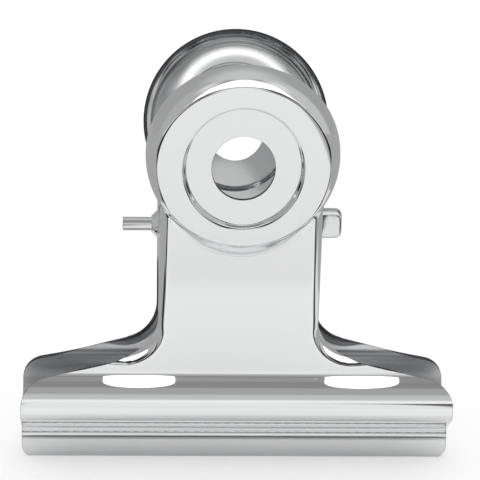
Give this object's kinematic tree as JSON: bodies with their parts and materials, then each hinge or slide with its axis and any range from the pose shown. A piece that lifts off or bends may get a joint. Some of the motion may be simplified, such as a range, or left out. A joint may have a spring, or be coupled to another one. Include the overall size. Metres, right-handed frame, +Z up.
{
  "type": "bulldog clip",
  "caption": "Sprung steel bulldog clip: two pressed plates with wide rolled jaws and round drilled finger discs, hinged on one cross pin and closed by a wound wire spring.",
  "frame": {"origin": "on the table under the middle of the closed lips, on the plane where they meet", "axes": "+X along the jaws and the hinge pin, towards the pin's flattened head; the front plate faces -Y; +Z up from the lips to the discs"},
  "size_m": [0.063, 0.038, 0.0617],
  "materials": {
    "plate_chrome": "bright plated sheet steel",
    "pin_steel": "bright plated wire",
    "spring_steel": "drawn spring wire, plated"
  },
  "bodies": {
    "front_half": {"front_plate": "plate_chrome", "hinge_pin": "pin_steel", "torsion_spring": "spring_steel"},
    "rear_half": {"rear_plate": "plate_chrome"}
  },
  "joints": [
    {"name": "jaw_hinge", "type": "hinge", "parent": "front_half", "child": "rear_half", "pos_m": [0, 0, 0.0353], "axis": [1, 0, 0], "range_deg": [0, 50], "stiffness_Nm_per_rad": 0.4, "springref_deg": -57.3, "deforming": ["torsion_spring"]}
  ]
}
